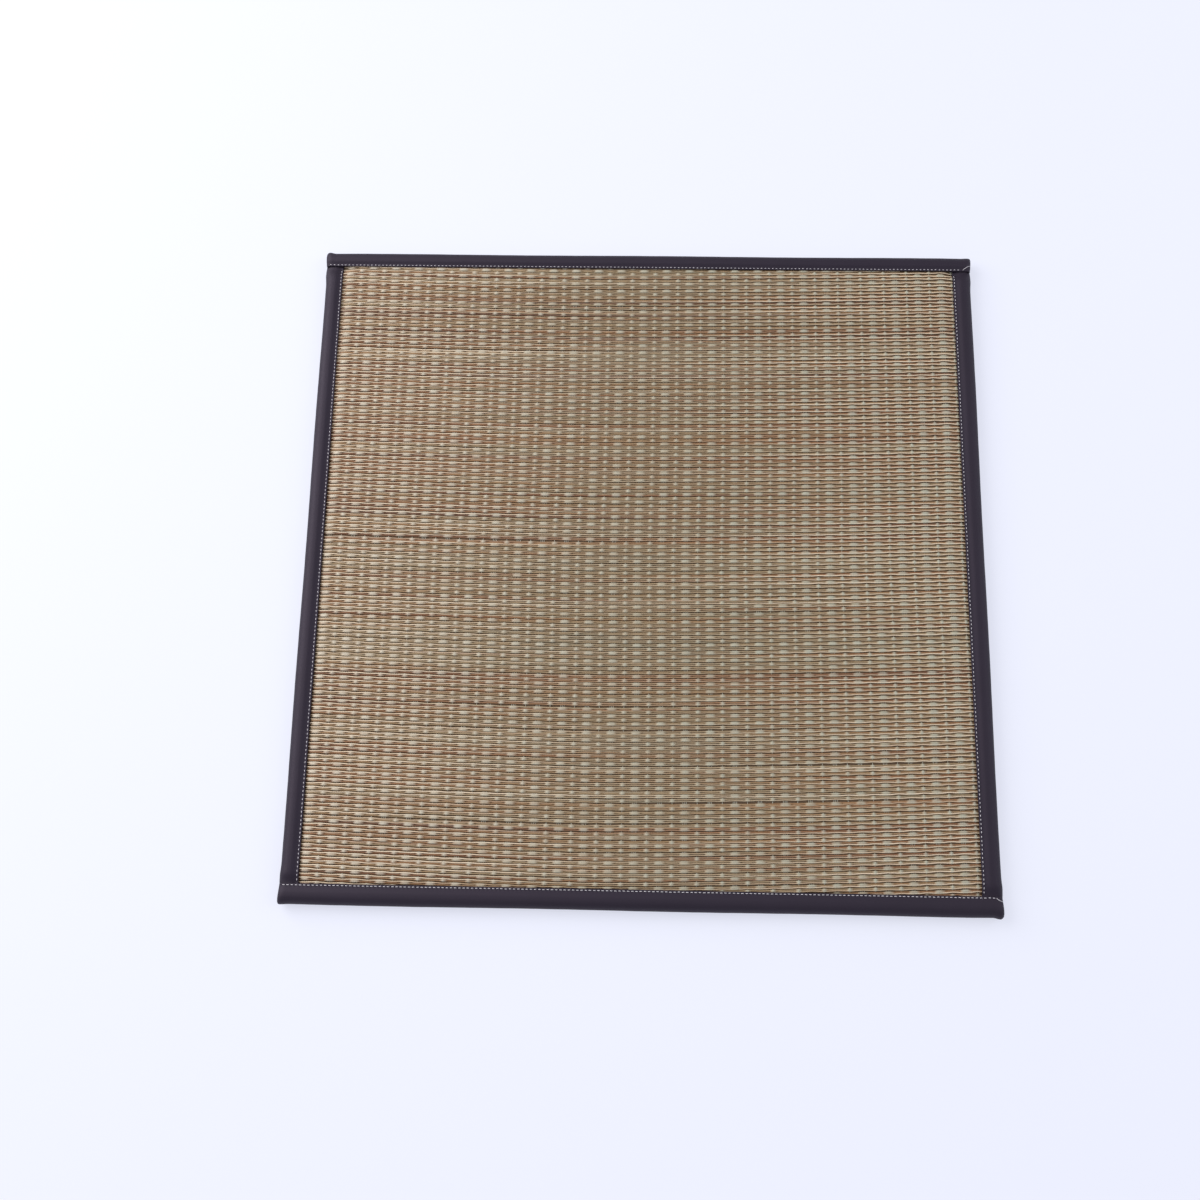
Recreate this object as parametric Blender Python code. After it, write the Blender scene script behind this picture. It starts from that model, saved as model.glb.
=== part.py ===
# A square tatami mat for the floor: one woven rush panel with four leatherette bindings.
# Each binding is a strip folded over one edge of the panel. The left and right strips go
# on first, and the near and far strips are folded over their ends.
# +X runs to the right, +Y to the far edge and +Z up. The origin is the middle of the
# underside, on the floor.
import math

import bmesh
import bpy
import numpy as np

MM = 0.001

# Driving sizes
SIDE = 600 * MM  # the mat from edge to edge, each way
THICKNESS = 15 * MM  # at the crown of the bindings
FIELD_HEIGHT = 13.5 * MM  # the top of the woven field
WALL = 1.2 * MM  # a binding strip with its turned-in backing
GAP = 0.45 * MM  # between the pieces, about 0.3 mm where a strip is pinched

# The section of a binding, as distances in from the mat's edge
CROWN_END = 9 * MM  # the padded crown is level up to here
STITCH_LINE = 15.5 * MM
LIP_END = 17 * MM  # the free edge, on the woven field
LEG_END = 18 * MM  # the free edge on the underside
STITCH_DIP = 1.4 * MM  # how far the sewing draws the crown down
LIP_RISE = 0.3 * MM
FIELD_START = 25 * MM  # the weave is pressed down from here to the stitch line
EARLY_RISE = 0.7  # how much of that it has made up half-way
REBATE_SLOPE = 2 * MM  # the run of the step round the legs on the underside

# Fineness of the outlines
ARC_STEPS = 8
DIP_STEPS = 3

# The ends of the strips
TUCK_END = 4.5 * MM  # the side strips stop just inside the near and far ones' edge
PINCH_START = 26 * MM  # the side strips are pressed down from here to that tuck
END_REACH = 1.3 * MM  # the near and far strips' corners pass the side strips by this
REACH_START = 10 * MM  # they widen from here
CORNER_RADIUS = 3 * MM

# One row for each strip: its name, its turn about +Z, how far it swells outwards near
# its first end and near its last end, the height of the slow wave along it, and where
# that wave starts, in turns. Seen from outside the mat each strip runs from left to right.
STRIP_COLUMNS = ("name", "turn", "first_swell", "last_swell", "wave", "start")
STRIPS = (
    ("binding_near", 0, 1.3 * MM, 1.3 * MM, 0.4 * MM, 0.10),
    ("binding_right", 90, 0.8 * MM, 0.8 * MM, 0.4 * MM, 0.55),
    ("binding_far", 180, 0.5 * MM, 1.3 * MM, 0.4 * MM, 0.30),
    ("binding_left", 270, 0.9 * MM, 0.7 * MM, 0.4 * MM, 0.80),
)
WAVES_ALONG = 2.5  # slow waves along one edge
SWELL_LENGTH = 12 * MM  # half the length of the swell near an end
SIDE_SWELL_PLACE = (LIP_END + FIELD_START) / 2  # its middle, in from the end of a side strip
END_SWELL_PLACE = 4 * MM  # and in from the end of a near or far strip
FREE_STATIONS = 9  # sections along the even stretch of a strip

# Colours, as linear values
RUSH_COLOUR = (0.36, 0.25, 0.145, 1)
LEATHERETTE_COLOUR = (0.042, 0.033, 0.052, 1)
RUSH_ROUGHNESS = 0.62
LEATHERETTE_ROUGHNESS = 0.45


def strip_surface():
    """The outside of a binding as points (in from the edge, height), from the free edge
    under the mat, round its half-round edge and over the crown to the lip."""
    radius = THICKNESS / 2
    points = [(LEG_END, 0)]
    for step in range(ARC_STEPS + 1):
        angle = math.pi * step / ARC_STEPS
        points.append((radius - radius * math.sin(angle), radius - radius * math.cos(angle)))
    for step in range(DIP_STEPS + 1):
        share = step / DIP_STEPS
        fall = STITCH_DIP * (1 - math.cos(math.pi * share)) / 2
        points.append((CROWN_END + share * (STITCH_LINE - CROWN_END), THICKNESS - fall))
    points.append((LIP_END, THICKNESS - STITCH_DIP + LIP_RISE))
    return points


def sunk(points, depth):
    """The points moved by depth into the strip, square to their line."""
    line = np.array(points)
    along = np.gradient(line, axis=0)
    along /= np.linalg.norm(along, axis=1, keepdims=True)
    inwards = np.stack([along[:, 1], -along[:, 0]], axis=1)
    inner = line + depth * inwards
    inner[[0, -1], 0] = line[[0, -1], 0]
    return [tuple(point) for point in inner]


def panel_margin():
    """The panel's own edge, parallel to the strip round it and a gap away, with the
    rebate that the leg lies in and the rise from the lip to the full weave."""
    margin = sunk(strip_surface(), WALL + GAP)
    margin[0] = (LEG_END + GAP, WALL + GAP)
    margin.insert(0, (LEG_END + GAP + REBATE_SLOPE, 0))
    lip_height = margin[-1][1]
    rise = FIELD_HEIGHT - lip_height
    margin.append(((LIP_END + FIELD_START) / 2, lip_height + EARLY_RISE * rise))
    margin.append((FIELD_START, FIELD_HEIGHT))
    return margin


MARGIN = panel_margin()
OUTERMOST = min(range(len(MARGIN)), key=lambda index: MARGIN[index][0])
UNDER = MARGIN[: OUTERMOST + 1][::-1]
OVER = MARGIN[OUTERMOST:]


def margin_insets():
    """The distances in from the edge at which the panel's margin has a corner."""
    insets = sorted(d for d, z in MARGIN)
    return [inset for inset, before in zip(insets[1:], insets) if inset - before > GAP / 4]


def floor_line(inset):
    """The lowest height that the panel and the side strips leave to a near or far strip."""
    return float(np.interp(inset, [d for d, z in UNDER], [z for d, z in UNDER]))


def ceiling_line(inset):
    """The height up to which a near or far strip leaves room."""
    return float(np.interp(inset, [d for d, z in OVER], [z for d, z in OVER]))


def pressed_top(inset):
    """The crown height of a side strip, this far in from the mat's near or far edge."""
    if inset <= LIP_END:
        return ceiling_line(inset)
    share = min((inset - LIP_END) / (PINCH_START - LIP_END), 1)
    smooth = share * share * (3 - 2 * share)
    return ceiling_line(LIP_END) + smooth * (THICKNESS - ceiling_line(LIP_END))


def inset_at(place):
    """How far in from the mat's edge a place is, counted from the middle."""
    return max(SIDE / 2 - abs(place), 0)


def bump(distance):
    """A smooth hump of height 1 that fades out at SWELL_LENGTH."""
    share = min(abs(distance) / SWELL_LENGTH, 1)
    return (1 + math.cos(math.pi * share)) / 2


def swell(row, place, swell_place):
    """How far the strip's edge stands out at this place, from minus to plus half its side."""
    first = bump(place + SIDE / 2 - swell_place) * row["first_swell"]
    last = bump(SIDE / 2 - swell_place - place) * row["last_swell"]
    turns = WAVES_ALONG * place / SIDE + row["start"]
    fade = min(inset_at(place) / PINCH_START, 1)
    wave = row["wave"] * (1 + math.sin(2 * math.pi * turns)) / 2
    return first + last + wave * fade


def extruded(outline, stations):
    """A straight bar: the outline (y, z) extruded along X from station to station."""
    mesh = bmesh.new()
    face = mesh.faces.new([mesh.verts.new((stations[0], y, z)) for y, z in outline])
    for here, there in zip(stations, stations[1:]):
        grown = bmesh.ops.extrude_face_region(mesh, geom=[face])["geom"]
        if here != stations[0]:
            bmesh.ops.delete(mesh, geom=[face], context="FACES_ONLY")
        face = next(item for item in grown if isinstance(item, bmesh.types.BMFace))
        bmesh.ops.translate(mesh, verts=face.verts, vec=(there - here, 0, 0))
    bmesh.ops.recalc_face_normals(mesh, faces=mesh.faces)
    return mesh


def shaped(mesh, shape):
    """Moves each vertex to where shape(x, y, z) puts it."""
    for vertex in mesh.verts:
        vertex.co = shape(*vertex.co)
    return mesh


def material(name, colour, roughness):
    found = bpy.data.materials.new(name)
    found.use_nodes = True
    surface = found.node_tree.nodes["Principled BSDF"]
    surface.inputs["Base Color"].default_value = colour
    surface.inputs["Roughness"].default_value = roughness
    surface.inputs["Metallic"].default_value = 0
    return found


def add_object(name, mesh, look):
    data = bpy.data.meshes.new(name)
    mesh.to_mesh(data)
    mesh.free()
    data.materials.append(look)
    data.shade_smooth()
    data.set_sharp_from_angle(angle=math.radians(40))
    made = bpy.data.objects.new(name, data)
    bpy.context.scene.collection.objects.link(made)
    return made


def rush_panel(look):
    """The woven panel, extruded from the near edge to the far one. Its margin follows
    the strips on all four edges, and its underside is flat on the floor."""
    half = SIDE / 2
    left = [(d - half, z) for d, z in MARGIN]
    right = [(half - d, z) for d, z in reversed(MARGIN)]
    insets = margin_insets()
    stations = [inset - half for inset in insets] + [half - inset for inset in reversed(insets)]

    def shape(along, across, height):
        inset = inset_at(along)
        low = floor_line(inset)
        under_strip = inset_at(across) < LIP_END + GAP
        full = THICKNESS if under_strip else FIELD_HEIGHT
        top = pressed_top(inset) if under_strip else ceiling_line(inset)
        return (-across, along, low + height * (top - low) / full)

    return add_object("mat_panel", shaped(extruded(left + right, stations), shape), look)


def binding_outline():
    surface = strip_surface()
    return surface + sunk(surface, WALL)[::-1]


def strip_stations(end_insets):
    """Sections close together near both ends, and evenly spread between."""
    inner = SIDE / 2 - max(end_insets)
    spread = np.linspace(-inner, inner, FREE_STATIONS)
    first = [inset - SIDE / 2 for inset in sorted(end_insets)[:-1]]
    last = [-place for place in reversed(first)]
    return first + [float(place) for place in spread] + last


def place_strip(made, row):
    turn = math.radians(row["turn"])
    made.rotation_euler = (0, 0, turn)
    made.location = (SIDE / 2 * math.sin(turn), -SIDE / 2 * math.cos(turn), 0)


def side_strip(row, look):
    """A left or right binding. Its ends are pressed flat and tucked into the near and
    far bindings, and it swells a little just before them."""
    insets = [inset for inset in margin_insets() if inset > TUCK_END]
    insets += [PINCH_START, SIDE_SWELL_PLACE + SWELL_LENGTH]

    def shape(along, inwards, height):
        inset = inset_at(along)
        low = floor_line(inset)
        share = (pressed_top(inset) - low) / THICKNESS
        out = swell(row, along, SIDE_SWELL_PLACE) * (1 - inwards / LEG_END)
        return (along, inwards - out, low + height * share)

    mesh = shaped(extruded(binding_outline(), strip_stations(insets)), shape)
    place_strip(add_object(row["name"], mesh, look), row)


def end_strip(row, look):
    """A near or far binding. It runs over the ends of the side bindings. The seam draws
    it in, so it flares from there to its outer corners, which are rounded off."""
    insets = [0, CORNER_RADIUS / 4, CORNER_RADIUS, END_SWELL_PLACE, REACH_START]
    insets += [END_SWELL_PLACE + SWELL_LENGTH, END_SWELL_PLACE + 2 * SWELL_LENGTH]

    def shape(along, inwards, height):
        inset = inset_at(along)
        turn = max(1 - inset / CORNER_RADIUS, 0)
        turned_in = CORNER_RADIUS * (1 - math.sqrt(1 - turn * turn))
        out = (swell(row, along, END_SWELL_PLACE) - turned_in) * (1 - inwards / LEG_END)
        flare = max(1 - inset / REACH_START, 0) * max(1 - inwards / STITCH_LINE, 0)
        reach = math.copysign(END_REACH * flare, along)
        return (along + reach, inwards - out, height)

    mesh = shaped(extruded(binding_outline(), strip_stations(insets)), shape)
    place_strip(add_object(row["name"], mesh, look), row)


def main():
    for old in list(bpy.data.objects):
        bpy.data.objects.remove(old)
    rush_panel(material("woven rush", RUSH_COLOUR, RUSH_ROUGHNESS))
    leatherette = material("dark leatherette", LEATHERETTE_COLOUR, LEATHERETTE_ROUGHNESS)
    for values in STRIPS:
        row = dict(zip(STRIP_COLUMNS, values))
        if row["turn"] in (0, 180):
            end_strip(row, leatherette)
        else:
            side_strip(row, leatherette)


main()
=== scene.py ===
# The looks of a square tatami mat: its woven rush, four leatherette bindings and their seams.
# All lengths are in metres, in the frame of the solids: +X right, +Y far, +Z up.
import math

import bpy
import numpy as np
from mathutils import Euler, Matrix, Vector


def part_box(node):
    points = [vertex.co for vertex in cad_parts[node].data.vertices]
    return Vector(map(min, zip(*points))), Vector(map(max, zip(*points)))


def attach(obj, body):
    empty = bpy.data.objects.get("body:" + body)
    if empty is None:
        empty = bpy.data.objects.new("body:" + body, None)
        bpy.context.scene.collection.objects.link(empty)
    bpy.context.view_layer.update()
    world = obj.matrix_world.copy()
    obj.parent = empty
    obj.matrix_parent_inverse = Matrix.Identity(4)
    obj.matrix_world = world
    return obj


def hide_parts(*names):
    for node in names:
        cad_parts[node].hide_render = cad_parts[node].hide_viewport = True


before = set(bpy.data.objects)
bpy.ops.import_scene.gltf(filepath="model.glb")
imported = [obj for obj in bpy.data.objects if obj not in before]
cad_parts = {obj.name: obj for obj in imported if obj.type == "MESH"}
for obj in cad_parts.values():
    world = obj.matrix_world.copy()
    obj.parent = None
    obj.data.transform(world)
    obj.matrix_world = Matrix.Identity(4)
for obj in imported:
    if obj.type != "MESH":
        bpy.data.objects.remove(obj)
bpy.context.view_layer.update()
MM = 0.001

# Sizes shared with the solids
SIDE = 600 * MM
HALF = SIDE / 2
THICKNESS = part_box("binding_near")[1][2]
WALL = 1.2 * MM
GAP = 0.45 * MM
CROWN_END = 9 * MM
STITCH_LINE = 15.5 * MM
LIP_END = 17 * MM
LEG_END = 18 * MM
STITCH_DIP = 1.4 * MM
LIP_RISE = 0.3 * MM
FIELD_START = 25 * MM
ROOM_LOW = 12.35 * MM  # the height that the solids leave for the panel under the seams
ROOM_HIGH = 13.5 * MM  # and in the open field
REBATE_SLOPE = 2 * MM
TUCK_END = 5.3 * MM
PINCH_START = 26 * MM
END_REACH = 1.3 * MM
REACH_START = 10 * MM
END_ROUNDING = 5 * MM  # the folded ends of the near and far strips are rounded over
END_FALL = 0.55  # down to this much less of their height
FAR_NARROWER = 1.8 * MM  # the far strip's lip and seam lie this much further out

# Each strip's swellings at its two ends, the radii of its two corners, where its waves
# start, how much narrower it is, its stitches' length, and where its seam turns outwards: (in
# from the mat's right side, how far out it ends). The sizes are in mm.
STRIP_COLUMNS = ("name", "node", "turn", "swells", "radii", "start", "narrower", "stitch", "tail")
STRIPS = (
    ("near_strip", "binding_near", 0, (0.4, 1.3), (1.4, 3), 0.10, 0.0, 2.3, (5.6, 2.9)),
    ("right_strip", "binding_right", 90, (0.8, 0.8), None, 0.55, 0.0, 1.75, None),
    ("far_strip", "binding_far", 180, (0.5, 1.3), (1.2, 3), 0.30, FAR_NARROWER / MM, 1.6, (7.1, 6.1)),
    ("left_strip", "binding_left", 270, (0.9, 0.7), None, 0.80, 0.7, 1.75, None),
)
WAVE_HEIGHT = 0.4 * MM
WAVES_ALONG = 2.5
SIDE_SWELL_LENGTH = 12 * MM
END_SWELL_LENGTH = 6 * MM
SIDE_SWELL_PLACE = (LIP_END + FIELD_START) / 2
END_SWELL_PLACE = 2.5 * MM

# The visible strips' fineness
ARC_STEPS = 16
DIP_STEPS = 8
FOLD_STEPS = 4  # round the folded free edges
STATION_STEP = 6 * MM
END_INSETS = (0, 0.5, 1.2, 2, 3, 4.5, 6, 8, 10, 12, 14, 15.5, 17, 18, 19, 21, 23, 25, 28, 33)  # mm
RIPPLE = 0.12 * MM  # small unevenness of a hand-folded edge
RIPPLE_LENGTHS = (23 * MM, 37 * MM, 61 * MM)
RIPPLE_TURNS = 3  # a strip's ripple starts this many times as far round as its waves do
MARGIN_RISES = (0.1, 0.65)  # of the way up to the field, at the lip and half way on
SAME_INSET = GAP / 4  # insets nearer to each other than this have one section

# The weave
ROW_PITCH = 3.445 * MM
BAND_PITCH = 21.1 * MM  # from one wide warp band to the next
FIRST_BAND = -3.55 * MM  # the wide band nearest the middle
BAND_SPREAD = 1.45 * MM  # between the three threads of a wide warp band
WARP_LEAN = 2.7 * MM  # the warp drifts this far to the right over the mat's length
WARP_SAG = 1.25 * MM  # and bows to the left across the middle
WARP_SAG_REACH = 55 * MM
COLUMNS_EACH_WAY = 14
WEAVE_END = STITCH_LINE  # the weave goes this far under the bindings
BED_LOW = 10.6 * MM  # the backing's height under the seams
BED_HIGH = 12.2 * MM  # and in the open field
CORNER_DIP = 2.3 * MM
BOW_RISE = 7.4 * MM  # the rows climb to the far side at the right
BOW_POWER = 1.45
BOW_START = -0.15  # in half sides from the middle
LEFT_BOW_RISE = 4.44 * MM  # and less so at the left
LEFT_BOW_POWER = 1.6
BOW_EASE = 0.34  # the bow is this much stronger at the near edge, weaker at the far one
ROW_WANDER = 0.25 * MM
WANDER_LENGTHS = (47 * MM, 110 * MM)

# The rows that leave a dark gap behind them: (where they cross the mat's middle, where the
# gap is widest), along Y and X
LOOSE_ROWS = (
    (240 * MM, -90 * MM),
    (199 * MM, -150 * MM),
    (19 * MM, -150 * MM),
    (-132 * MM, -60 * MM),
    (-151 * MM, -50 * MM),
    (-183 * MM, 180 * MM),
    (-214 * MM, 120 * MM),
    (-230 * MM, -100 * MM),
)
LOOSE_ROW_GAP = 0.85 * MM
LOOSE_ROW_REACH = 170 * MM
ROW_HALF_WIDTH = (1.55 * MM, 1.76 * MM)  # between crests, and on one
FLOAT_NARROWER = 0.1 * MM  # half way between crests
CREST_TOP = 1.85 * MM  # above the backing
TIP_TOP = (1.65 * MM, 1.7 * MM)  # of the thin ends between crests, at the mat's left and right
ROOT_TOP = (0.95 * MM, 0.45 * MM)  # of the thick ends beside a crest, at the left and right
FLOAT_TOP = (1.25 * MM, 0.75 * MM)  # and half way between crests
FLOAT_DRIFT = (-0.35 * MM, 0.45 * MM)  # how far a row bends aside there
STEM_FLATNESS = 0.62  # a stem's height for its width
ROOT_ROLL = 0.5  # how much a thick stem's flat side turns away from its thin neighbour
CREST_SPREAD = 0.22  # a stem is pressed this much wider on a crest
TIP_SPREAD = 0.2  # and a thin end lies this much over its thick neighbour
MIDDLE_SPLIT = 0.16  # two stems of one thickness stand this much apart
LEFT_BELLY = 0.5  # at the left a thick stem is this much wider half way than beside a crest
USUAL_HALF_WIDTH = 0.85 * MM
FLATNESS_POWER = 0.6  # a wide stem is flatter
ROLL_AT_CRESTS = 0.6
ROW_WIDTH_VARIES = (0.95, 1.02)
TAPER_VARIES = (0.75, 1.15)
PALENESS_VARIES = (0.85, 1.1)
SWAP_SLOPE = 1.25  # how soon the thick ends become the thin ones on the way across
SWAP_VARIES = 0.28
STEM_WAVE = 0.06 * MM
STEM_WAVE_LENGTHS = (30 * MM, 90 * MM)
TOP_VARIES = 0.06 * MM
# How pale the crests are, partly their own colour and partly a painted highlight, brightest at the left.
CREST_PALENESS_AND_HIGHLIGHT = (0.93, 0.66, 0.78)  # at the mat's left, middle and right
STEM_TAPER = 0.32  # a stem's root end takes this much more than half of the row's width
ACROSS_PLACES = (-0.9, 0.0, 0.9)  # in half sides from the middle
MEAN_TONE = 0.54  # of a stem, from 0 for dark and brown to 1 for grey green
BUNDLE_KEPT = 0.93  # of one row's tone in the next row, as rows come from one bundle
BUNDLE_STEP = 0.058
ROW_TONE_SPREAD = 0.085
GREYING_PLACES = (-0.95, -0.45, 0.0, 0.45, 0.95)  # in half sides from the middle
GREYING = (-0.14, 0.0, 0.14, 0.02, -0.03)  # the rows are redder at the left, greyer midway
GREYEST_TONE = 0.86
STEM_TONE_SPREAD = 0.12
WEFT_PIECES = 4
SEED = 7

# How a row runs at each warp band that it passes over: the distance along the row from the
# band's middle in mm, how far the row is on its crest there, and how far into its float.
WIDE_RUN = (
    (-10.55, 0.0, 1.0),
    (-7.2, 0.0, 0.55),
    (-4.6, 0.0, 0.0),
    (-3.2, 0.55, 0.0),
    (-1.9, 0.95, 0.0),
    (0.0, 1.0, 0.0),
    (1.9, 0.9, 0.0),
    (3.4, 0.45, 0.0),
    (5.2, 0.0, 0.0),
    (7.6, 0.0, 0.55),
)
NARROW_RUN = (
    (-10.55, 0.0, 1.0),
    (-6.8, 0.0, 0.6),
    (-2.9, 0.0, 0.0),
    (-1.5, 0.5, 0.0),
    (-0.5, 1.0, 0.0),
    (0.5, 1.0, 0.0),
    (1.6, 0.5, 0.0),
    (3.2, 0.0, 0.0),
    (6.8, 0.0, 0.6),
)

NARROW_STRETCH = (1.1, 1.0, 0.8)  # the narrow crests are longer at the left, shorter at the right
NARROW_REACH = 4  # mm either side of a narrow crest's middle

# The warp threads
THREAD_HALF_WIDTH = 0.27 * MM
THREAD_HALF_HEIGHT = 0.2 * MM
THREAD_OVER = 0.45 * MM  # its middle above the backing, over a row that dips
THREAD_UNDER = 0.15 * MM

# The seams
STITCH_PITCH = 3.5 * MM
STITCH_HALF_WIDTH = 0.28 * MM
STITCH_HEIGHT = 0.3 * MM
STITCH_SLIP = 0.08 * MM  # each lies this much out of line
STITCH_THICKNESS = 0.7  # a stitch's half height, as a share of STITCH_HEIGHT
STITCH_VARIES = (0.92, 1.08)  # between these shares of its strip's stitch length
SIDE_SEAM_CLEAR = 0.5 * MM  # a side seam ends this far before the near and far strips' lips
END_SEAM_CLEAR = 0.8  # the others end this many stitch lengths before the mat's sides
TAIL_RISE = 0.4  # a loose tail's height above the strip, as a share of STITCH_HEIGHT
TAIL_HALF_WIDTH = 0.2 * MM
TAIL_STEPS = 8
TAIL_REACH = 0.93  # of the way to the mat's side
TAIL_CURVE = 0.8

# The photograph's camera, worked out from the mat's corners
CAMERA_PLACE = (-0.0062, -0.3585, 1.2151)
CAMERA_TURN = (15.08, 1.16, 1.155)  # degrees about X, Y and Z
CAMERA_LENS = 42.73  # mm on a 36 mm sensor
FLOOR_DROP = 0.2 * MM
FLOOR_SIZE = 6.0
ROOM_COLOUR = "#DDE3F2"
ROOM_STRENGTH = 0.68
# The area lights, which aim at the mat's middle: name, place, size, watts and colour
LIGHTS = (
    ("left window", (-1.8, 0.9, 1.5), (2.4, 2.0), 61, (1.0, 0.985, 0.965)),
    ("right softbox", (2.4, 0.5, 1.9), (1.8, 1.8), 18, (0.95, 0.97, 1.0)),
)


def smooth_step(share):
    share = np.clip(share, 0, 1)
    return share * share * (3 - 2 * share)


def linear(hex_colour):
    """An sRGB hex colour as the linear colour that the nodes take."""
    parts = [int(hex_colour[start : start + 2], 16) / 255 for start in (1, 3, 5)]
    return tuple(p / 12.92 if p <= 0.04045 else ((p + 0.055) / 1.055) ** 2.4 for p in parts) + (1,)


# Meshes
def ring_faces(rings, points):
    """Quads between rings that follow each other, and a cap at each end."""
    here = np.arange(rings - 1)[:, None] * points
    around = np.arange(points)
    after = (around + 1) % points
    quads = np.stack([here + around, here + after, here + points + after, here + points + around], axis=-1)
    first = list(range(points - 1, -1, -1))
    last = [(rings - 1) * points + index for index in range(points)]
    return quads.reshape(-1, 4), first, last


def signed_volume(corners, quads):
    a, b, c, d = (corners[quads[:, index]] for index in range(4))
    return float((np.cross(a, b) * c).sum() + (np.cross(a, c) * d).sum()) / 6


def tubes_object(name, tubes, values):
    """One object of many closed tubes. A tube is an array of rings of points, and values
    holds for each attribute's name a list with one number for each ring of each tube."""
    corners = []
    faces = []
    start = 0
    for rings in tubes:
        count, points = rings.shape[:2]
        flat = rings.reshape(-1, 3)
        quads, first, last = ring_faces(count, points)
        if signed_volume(flat, quads) < 0:
            quads = quads[:, ::-1]
            first = first[::-1]
            last = last[::-1]
        faces += (quads + start).tolist()
        faces.append([start + index for index in first])
        faces.append([start + index for index in last])
        corners.append(flat)
        start += len(flat)
    mesh = bpy.data.meshes.new(name)
    mesh.from_pydata(np.concatenate(corners).tolist(), [], faces)
    points = tubes[0].shape[1]
    for label, per_ring in values.items():
        layer = mesh.attributes.new(label, "FLOAT", "POINT")
        spread = np.repeat(np.concatenate(per_ring), points).astype(np.float32)
        layer.data.foreach_set("value", spread)
    mesh.shade_smooth()
    made = bpy.data.objects.new(name, mesh)
    bpy.context.scene.collection.objects.link(made)
    return made


def tube_along(line, half_width, half_height, profile, lift=0.0):
    """Rings round a line that lies flat: profile holds (sideways, upwards) shares."""
    along = np.gradient(line, axis=0)
    side = np.stack([-along[:, 1], along[:, 0]], axis=1)
    side /= np.linalg.norm(side, axis=1, keepdims=True)
    across = np.array([point[0] for point in profile])
    up = np.array([point[1] for point in profile])
    rings = np.repeat(line[:, None, :], len(profile), axis=1)
    rings[:, :, 0] += side[:, None, 0] * across * half_width[:, None]
    rings[:, :, 1] += side[:, None, 1] * across * half_width[:, None]
    rings[:, :, 2] += up * half_height[:, None] + lift
    return rings


# The binding strips
def strip_surface():
    """The outside of a strip as points (in from the edge, height), from its free edge
    under the mat, round the mat's edge and over the crown to the lip."""
    radius = THICKNESS / 2
    fold = WALL / 2
    points = [(LEG_END - fold, 0), ((LEG_END + radius) / 2, 0)]
    for step in range(ARC_STEPS + 1):
        angle = math.pi * step / ARC_STEPS
        points.append((radius - radius * math.sin(angle), radius - radius * math.cos(angle)))
    for step in range(DIP_STEPS + 1):
        share = step / DIP_STEPS
        fall = STITCH_DIP * (1 - math.cos(math.pi * share)) / 2
        points.append((CROWN_END + share * (STITCH_LINE - CROWN_END), THICKNESS - fall))
    points.append((LIP_END - fold, THICKNESS - STITCH_DIP + LIP_RISE))
    return points


def sunk(points, depth):
    """The points moved by depth into the strip, square to their line."""
    line = np.array(points)
    along = np.gradient(line, axis=0)
    along /= np.linalg.norm(along, axis=1, keepdims=True)
    inner = line + depth * np.stack([along[:, 1], -along[:, 0]], axis=1)
    inner[[0, -1], 0] = line[[0, -1], 0]
    return [tuple(point) for point in inner]


def fold(outer, inner):
    """A half round from the outer to the inner side of a free edge, bulging inwards."""
    middle = ((outer[0] + inner[0]) / 2, (outer[1] + inner[1]) / 2)
    radius = (outer[1] - inner[1]) / 2
    points = []
    for step in range(1, FOLD_STEPS):
        angle = math.pi * step / FOLD_STEPS
        points.append((middle[0] + abs(radius) * math.sin(angle), middle[1] + radius * math.cos(angle)))
    return points


def strip_outline():
    """The closed section of a strip, and how far along its outside each point lies."""
    surface = strip_surface()
    inner = sunk(surface, WALL)
    lip = fold(surface[-1], inner[-1])
    leg = fold(inner[0], surface[0])
    steps = np.linalg.norm(np.diff(np.array(surface), axis=0), axis=1)
    run = np.concatenate([[0], np.cumsum(steps)])
    runs = list(run) + [run[-1]] * len(lip) + list(run[::-1]) + [0] * len(leg)
    return surface + lip + inner[::-1] + leg, runs


def panel_margin(high, low):
    """The backing's edge in the strips: parallel to them and a gap away, then down to
    its height under the seam and up to its height in the field."""
    margin = sunk(strip_surface(), WALL + GAP)
    margin = [point for point in margin if point[0] <= CROWN_END][1:]
    margin.insert(0, (LEG_END + GAP, WALL + GAP))
    margin.insert(0, (LEG_END + GAP + REBATE_SLOPE, 0))
    rise = high - low
    margin += [(STITCH_LINE, low), (LIP_END, low + MARGIN_RISES[0] * rise)]
    margin += [((LIP_END + FIELD_START) / 2, low + MARGIN_RISES[1] * rise), (FIELD_START, high)]
    return margin


MARGIN = panel_margin(BED_HIGH, BED_LOW)
CLEAR_MARGIN = panel_margin(ROOM_HIGH, ROOM_LOW)  # the room that the solids leave
OUTERMOST = min(range(len(MARGIN)), key=lambda index: MARGIN[index][0])


def read_line(points, inset):
    return np.interp(inset, [point[0] for point in points], [point[1] for point in points])


def floor_line(inset):
    return float(read_line(MARGIN[: OUTERMOST + 1][::-1], inset))


def ceiling_line(inset, margin=CLEAR_MARGIN):
    return float(read_line(margin[OUTERMOST:], inset))


def pressed_top(inset):
    """The crown height of a side strip, this far in from the mat's near or far edge."""
    if inset <= LIP_END:
        return ceiling_line(inset)
    share = float(smooth_step((inset - LIP_END) / (PINCH_START - LIP_END)))
    return ceiling_line(LIP_END) + share * (THICKNESS - ceiling_line(LIP_END))


def inset_at(place):
    return max(HALF - abs(place), 0)


def bump(distance, length):
    return (1 + math.cos(math.pi * min(abs(distance) / length, 1))) / 2


def ripple(place, start):
    """A small unevenness along an edge, from 0 to RIPPLE."""
    waves = [math.sin(2 * math.pi * (place / length + start * RIPPLE_TURNS)) for length in RIPPLE_LENGTHS]
    return RIPPLE * (1 + sum(waves) / len(waves)) / 2


def is_side(row):
    return row["turn"] in (90, 270)


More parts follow.
